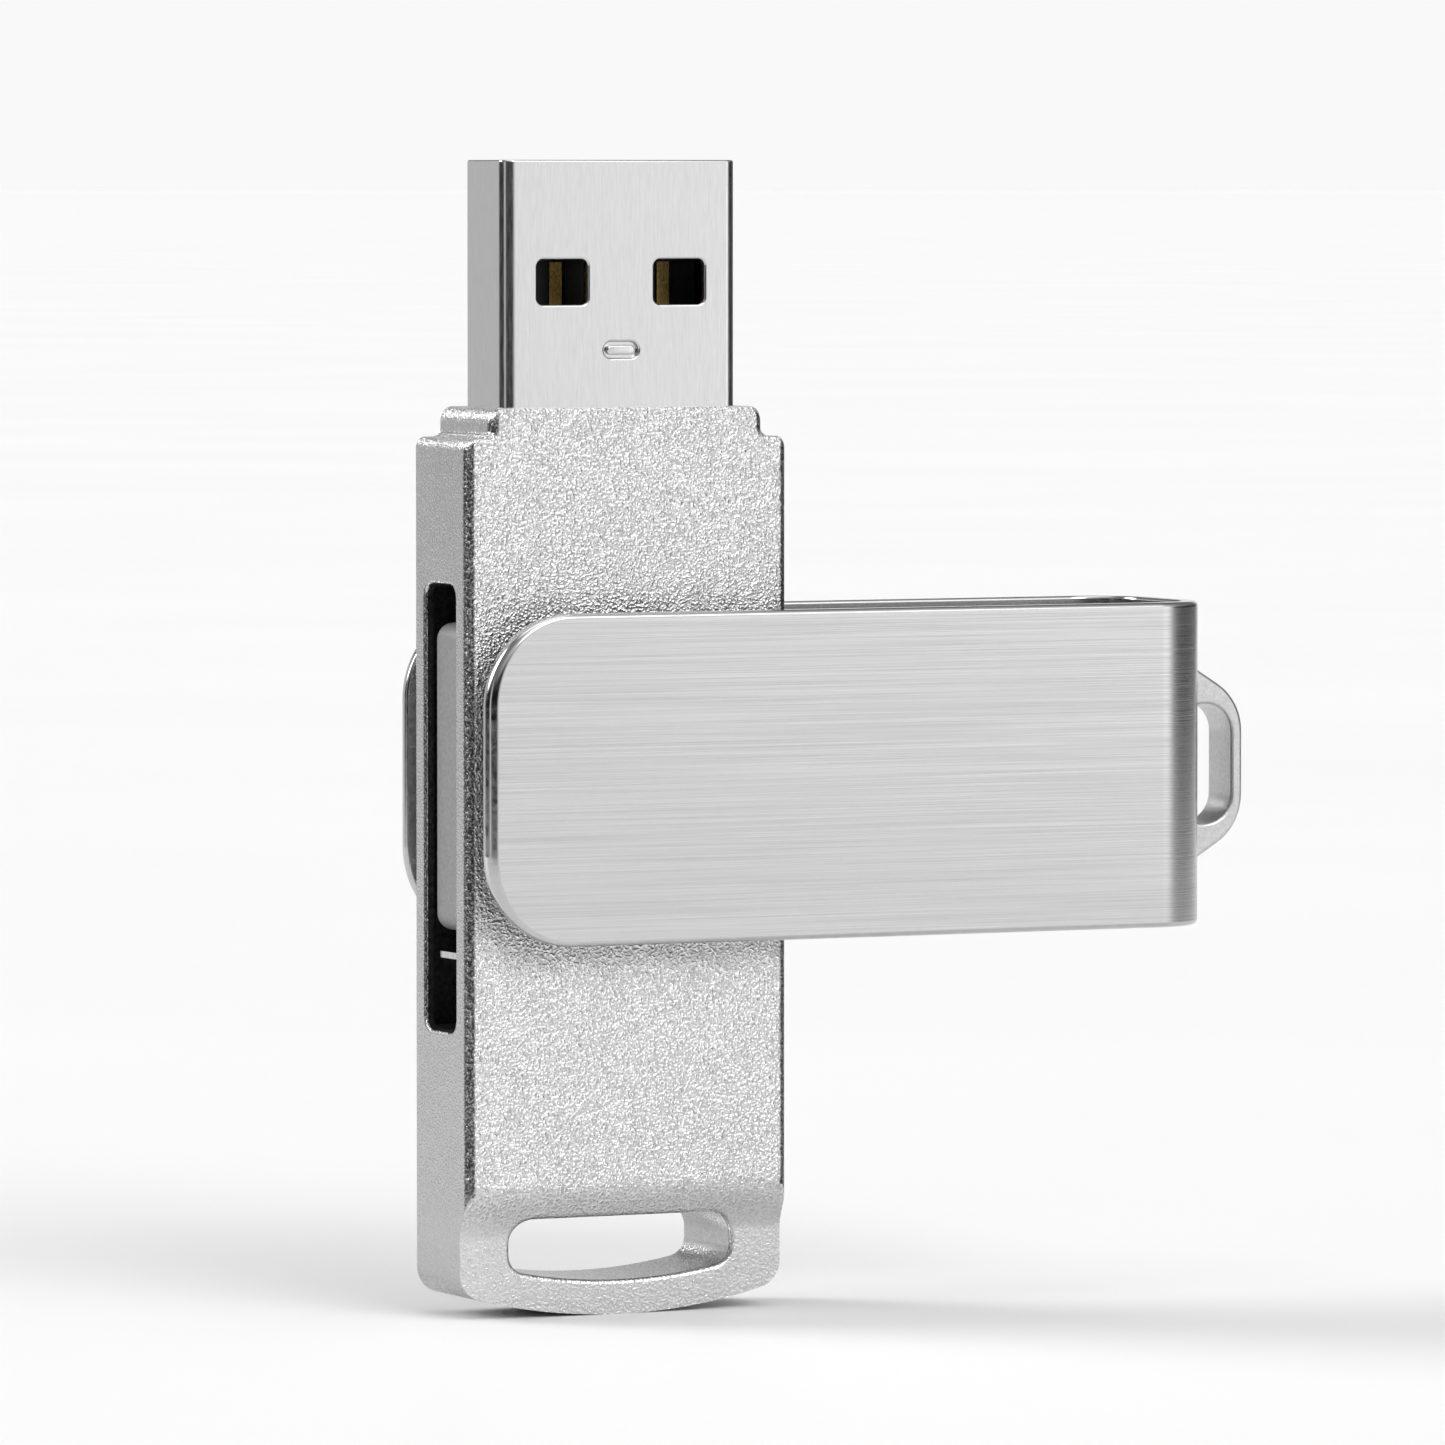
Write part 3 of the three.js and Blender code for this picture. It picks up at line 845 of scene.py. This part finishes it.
def make_tongue(materials):
    """The black tongue, with a rib between each pair of leads in its stepped part."""
    black = materials["black_plastic"]
    step_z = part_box("lead_1")[1].z + FIT
    step_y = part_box("lead_1")[1].y + FIT
    low, high = TONGUE_LOW, TONGUE_HIGH
    tongue = new_object(soft_box(Vector((low.x, low.y, step_z)), high, TONGUE_EDGE), "tongue", black)
    base = new_object(soft_box(Vector((low.x, step_y, low.z)), high, TONGUE_EDGE), "tongue_base", black)
    combine(tongue, [base], "UNION")
    leads = [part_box(f"lead_{i + 1}") for i in range(LEADS)]
    for (_, left), (right, _) in zip(leads, leads[1:]):
        rib_low = Vector((left.x + RIB_INSET, step_y - RIB_HEIGHT, low.z + RIB_START))
        rib_high = Vector((right.x - RIB_INSET, step_y + RIB_ROOT, step_z + RIB_ROOT))
        rib = new_object(soft_box(rib_low, rib_high, RIB_EDGE), "tongue_rib", black)
        combine(tongue, [rib], "UNION")
    return finish_piece(tongue, "drive", "black_plastic", "plug_tongue")


def make_contacts(materials):
    names = [f"contact_{i + 1}" for i in range(CONTACTS)] + [f"lead_{i + 1}" for i in range(LEADS)]
    for name in names:
        low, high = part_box(name)
        strip = soft_box(low, high, GOLD_EDGE)
        piece = new_object(strip, f"{name}_plated", materials["gold_plate"])
        finish_piece(piece, "drive", "gold_plate", name)


# ---------------------------------------------------------------- cap

def fold(point, flat, half_depth, bend, left, right):
    """Folds the flat blank into a U: a runs along it, y is 0 outside and SHEET inside."""
    a, inward, z = point
    quarter = bend * math.pi / 2
    wall = 2 * (half_depth - bend)
    radius = bend - inward
    if a <= flat:
        return Vector((left + a, -half_depth + inward, z))
    a -= flat
    if a <= quarter:
        turn = a / bend
        centre = Vector((right - bend, -half_depth + bend, z))
        return centre + Vector((math.sin(turn), -math.cos(turn), 0)) * radius
    a -= quarter
    if a <= wall:
        return Vector((right - inward, -half_depth + bend + a, z))
    a -= wall
    if a <= quarter:
        turn = a / bend
        centre = Vector((right - bend, half_depth - bend, z))
        return centre + Vector((math.cos(turn), math.sin(turn), 0)) * radius
    a -= quarter
    return Vector((right - bend - a, half_depth - inward, z))


def cap_edge(outward_way, side):
    """The sheet's edge radius: widest outside at the two short ends."""
    if side == 1:
        return CAP_INNER_EDGE
    return CAP_LONG_EDGE + (CAP_END_EDGE - CAP_LONG_EDGE) * abs(outward_way.x) ** 3


def make_cap(materials):
    """The cap, folded from a blank with four rounded corners, as in a press."""
    steel = materials["brushed_steel"]
    half_depth = CAP_HIGH.y
    flat = CAP_HIGH.x - CAP_BEND - CAP_LOW.x
    quarter = CAP_BEND * math.pi / 2
    wall = 2 * (half_depth - CAP_BEND)
    length = 2 * (flat + quarter) + wall
    corners = [(0, CAP_LOW.z), (length, CAP_LOW.z), (length, CAP_HIGH.z), (0, CAP_HIGH.z)]
    outline = rounded([(a, b, CAP_CORNER) for a, b in corners], LONG_ARC_STEPS)
    bm = loft(plate_rings(outline, 0, SHEET, cap_edge, along_y), range(2 * RIM_STEPS + 1))
    for start in (flat, flat + quarter + wall):
        for k in range(BEND_STEPS + 1):
            slice_mesh(bm, (start + quarter * k / BEND_STEPS, 0, 0), (1, 0, 0))
    for vert in bm.verts:
        vert.co = fold(vert.co, flat, half_depth, CAP_BEND, CAP_LOW.x, CAP_HIGH.x)
    bmesh.ops.recalc_face_normals(bm, faces=bm.faces)
    cap = new_object(bm, "swivel_cap", steel, materials["steel_edge"])
    half_y, half_z = (half + TENON_ROOM for half in TENON_HALF)
    outline = box_outline(half_y, PIVOT_Z - half_z, PIVOT_Z + half_z, 0)
    ends = (CAP_HIGH.x - 2 * SHEET, CAP_HIGH.x + SHEET)
    tool = loft([[along_x(*point, x) for point in outline] for x in ends])
    combine(cap, [new_object(tool, "tenon_cutter", steel)])
    return finish_piece(cap, "cap", "brushed_steel", "cap_shell")


def make_loop(materials):
    """The cast cord loop on the cap's closed end, with its foot through the wall."""
    metal = materials["satin_cast"]
    wall = CAP_HIGH.x + FIT
    end = LOOP_HIGH.x
    middle = (LOOP_LOW.z + LOOP_HIGH.z) / 2
    half_y = LOOP_HIGH.y
    outline = rounded([
        (wall, middle - LOOP_HALF_BASE, LOOP_BASE_CORNER),
        (end, middle - LOOP_HALF_END, LOOP_CORNER),
        (end, middle + LOOP_HALF_END, LOOP_CORNER),
        (wall, middle + LOOP_HALF_BASE, LOOP_BASE_CORNER),
    ])
    inner = wall + LOOP_BASE
    outer = end - LOOP_SIDE
    opening = rounded([
        (inner, middle - LOOP_HOLE_HALF, LOOP_HOLE_BASE_CORNER),
        (outer, middle - LOOP_HOLE_HALF, LOOP_HOLE_CORNER),
        (outer, middle + LOOP_HOLE_HALF, LOOP_HOLE_CORNER),
        (inner, middle + LOOP_HOLE_HALF, LOOP_HOLE_BASE_CORNER),
    ])
    loop = new_object(loft(plate_rings(outline, -half_y, half_y, LOOP_RIM, along_y)), "cord_loop", metal)
    rings = cutter_rings(opening, -half_y, half_y, along_y, LOOP_HOLE_RIM, LOOP_HOLE_RIM)
    combine(loop, [new_object(loft(rings), "loop_cutter", metal)])
    combine(loop, [loop_foot(wall, metal)], "UNION")
    return finish_piece(loop, "cap", "cast_metal", "cap_loop")


def loop_foot(wall, metal):
    half_y, half_z = TENON_HALF
    low = Vector((LOOP_LOW.x, -half_y, PIVOT_Z - half_z))
    high = Vector((wall + LOOP_RIM, half_y, PIVOT_Z + half_z))
    return new_object(soft_box(low, high, TENON_EDGE), "loop_foot", metal)


def make_hub(materials):
    grey = materials["grey_plastic"]
    half_x = (HUB_HIGH.x - HUB_LOW.x) / 2
    half_z = (HUB_HIGH.z - HUB_LOW.z) / 2
    outline = box_outline(half_x, PIVOT_Z - half_z, PIVOT_Z + half_z, HUB_CORNER)
    rings = plate_rings(outline, -HUB_HALF_Y, HUB_HALF_Y, HUB_RIM, body_place)
    hub = new_object(loft(rings), "hub", grey)
    boss = circle(BOSS_RADIUS, PIVOT_Z, BOSS_STEPS)
    rings = plate_rings(boss, HUB_LOW.y, HUB_HIGH.y, BOSS_RIM, body_place)
    combine(hub, [new_object(loft(rings), "hub_boss", grey)], "UNION")
    key = box_outline(KEY_HALF, PIVOT_Z - KEY_HALF, PIVOT_Z + KEY_HALF, 0)
    combine(hub, [plain_cutter(key, -2 * CHAMBER_HALF_Y, 2 * CHAMBER_HALF_Y, grey)])
    return finish_piece(hub, "cap", "grey_plastic", "swivel_hub")


def paint_frame(materials):
    """Gives each CAD node that stays visible the material of its own slot."""
    slots = {part["node"]: part["material_slot"] for part in frame["record"]["subparts"]}
    for name, node in frame["nodes"].items():
        if node.hide_render:
            continue
        node.data.materials.clear()
        node.data.materials.append(materials[slots[name]])


# ---------------------------------------------------------------- studio

# The camera looks from the drive's front left, a little above it.
CAMERA_AROUND = math.radians(26.0)
CAMERA_ABOVE = math.radians(2.814)
CAMERA_DISTANCE = 519.04 * MM
CAMERA_RIGHT = 5.683 * MM
CAMERA_UP = 2.386 * MM
# In millimetres, as Blender takes them.
SENSOR = 36
LENS = 277.1045

FLOOR_HALF = 0.32
FLOOR_FRONT = 0.3
FLOOR_BACK = 40
FLOOR_FAR_HALF = 4

# The studio's brightness as (turn round Z from +X, level). The camera looks towards turn 0.178.
WALLS = [(0.0, 0.08), (0.09, 0.15), (0.145, 0.945), (0.21, 0.945), (0.27, 0.77), (0.335, 0.75),
         (0.37, 0.15), (0.4, 0.01), (0.515, 0.01), (0.548, 1.1), (0.58, 0.01), (0.745, 0.01),
         (0.785, 0.9), (0.815, 1.2), (0.838, 1.75), (0.862, 1.9), (0.882, 0.8), (0.9, 0.2),
         (0.93, 0.03)]
UPPER_WALLS = [(0.0, 0.25), (0.2, 0.22), (0.45, 0.3), (0.6, 0.3), (0.7, 0.8), (0.78, 1.2),
               (0.87, 1.1), (0.94, 0.4)]
# Degrees up over which the walls turn into the upper walls, and those into the ceiling.
UPPER_EDGE = (9, 24)
CEILING_EDGE = (60, 72)
CEILING_LEVEL = 1.95
# Past the floor's edges, the studio is as pale as the floor.
BELOW_EDGE = (-6.5, -9)
BELOW_LEVEL = 0.965
# Soft lights: turn, degrees up, degrees from middle to edge, degrees of falloff, strength.
SOFTBOXES = [(0.785, 36, 12, 8, 4.5), (0.386, 28, 11, 7, 10.3)]


def make_camera():
    forward = Vector((math.sin(CAMERA_AROUND) * math.cos(CAMERA_ABOVE),
                      math.cos(CAMERA_AROUND) * math.cos(CAMERA_ABOVE),
                      -math.sin(CAMERA_ABOVE)))
    right = Vector((math.cos(CAMERA_AROUND), -math.sin(CAMERA_AROUND), 0))
    up = right.cross(forward)
    data = bpy.data.cameras.new("camera")
    data.sensor_width = SENSOR
    data.lens = LENS
    data.clip_start = 0.01
    data.clip_end = 100
    camera = bpy.data.objects.new("camera", data)
    bpy.context.scene.collection.objects.link(camera)
    place = PIVOT - forward * CAMERA_DISTANCE + right * CAMERA_RIGHT + up * CAMERA_UP
    turn = Matrix((right, up, -forward)).transposed().to_4x4()
    camera.matrix_world = Matrix.Translation(place) @ turn
    bpy.context.scene.camera = camera


def make_floor():
    """A pale table top that widens away from the camera, so no side or far edge shows."""
    outline = [(-FLOOR_HALF, -FLOOR_FRONT), (FLOOR_HALF, -FLOOR_FRONT), (FLOOR_HALF, FLOOR_HALF),
               (FLOOR_FAR_HALF, FLOOR_BACK), (-FLOOR_FAR_HALF, FLOOR_BACK), (-FLOOR_HALF, FLOOR_HALF)]
    turn = Matrix.Rotation(-CAMERA_AROUND, 4, "Z")
    bm = bmesh.new()
    bm.faces.new([bm.verts.new(turn @ Vector((*p, 0))) for p in outline])
    paint = Paint("floor")
    cloud = paint.noise((9, 9, 9), detail=3)
    paint.colour(paint.ramp(cloud, [(0.3, 0.806), (0.7, 0.83)]))
    paint.set(Roughness=0.5, Specular_IOR_Level=0.15)
    new_object(bm, "floor", paint.material)


class Sky(NodeKit):
    """The studio as light by direction. Directions are turns round Z from +X, and degrees up."""

    def __init__(self):
        world = bpy.data.worlds.new("studio")
        bpy.context.scene.world = world
        world.use_nodes = True
        super().__init__(world.node_tree)
        self.way = self.nodes.new("ShaderNodeTexCoord").outputs["Generated"]
        self.x, self.y, self.up = self.split(self.way)

    def turn(self):
        """How far round the horizon a direction points, from 0 to 1."""
        angle = self.maths("ARCTAN2", self.y, self.x)
        return self.maths("FRACT", self.maths("DIVIDE", angle, 2 * math.pi))

    def by_turn(self, turn, stops):
        """A brightness that goes through (turn, level) stops."""
        return self.maths("ADD", self.ramp(turn, stops), 0)

    def past(self, edge):
        """0 below the first angle up, 1 above the second, with a smooth rise between."""
        return self.eased(self.up, *(math.sin(math.radians(angle)) for angle in edge))

    def blend(self, first, second, share):
        kept = self.maths("MULTIPLY", first, self.maths("SUBTRACT", 1, share))
        return self.maths("ADD", kept, self.maths("MULTIPLY", second, share))

    def softbox(self, turn, above, spread, edge, strength):
        """A round soft light: full out to spread degrees from its middle, gone edge degrees on."""
        turn, above = turn * 2 * math.pi, math.radians(above)
        towards = (math.cos(turn) * math.cos(above), math.sin(turn) * math.cos(above), math.sin(above))
        dot = self.nodes.new("ShaderNodeVectorMath")
        dot.operation = "DOT_PRODUCT"
        self.link(self.way, dot.inputs[0])
        dot.inputs[1].default_value = towards
        limits = (math.cos(math.radians(spread + edge)), math.cos(math.radians(spread)))
        return self.maths("MULTIPLY", self.eased(dot.outputs["Value"], *limits), strength)

    def shine(self, level):
        self.link(level, self.nodes["Background"].inputs["Color"])


def make_sky():
    sky = Sky()
    turn = sky.turn()
    level = sky.blend(sky.by_turn(turn, WALLS), sky.by_turn(turn, UPPER_WALLS), sky.past(UPPER_EDGE))
    level = sky.blend(level, CEILING_LEVEL, sky.past(CEILING_EDGE))
    level = sky.blend(level, BELOW_LEVEL, sky.past(BELOW_EDGE))
    for softbox in SOFTBOXES:
        level = sky.maths("ADD", level, sky.softbox(*softbox))
    sky.shine(level)
    bpy.context.scene.view_settings.view_transform = "Standard"


def make_drive():
    materials = make_materials()
    make_body(materials)
    make_plug(materials)
    make_tongue(materials)
    make_contacts(materials)
    make_cap(materials)
    make_loop(materials)
    make_hub(materials)
    paint_frame(materials)


make_camera()
make_drive()
make_floor()
make_sky()
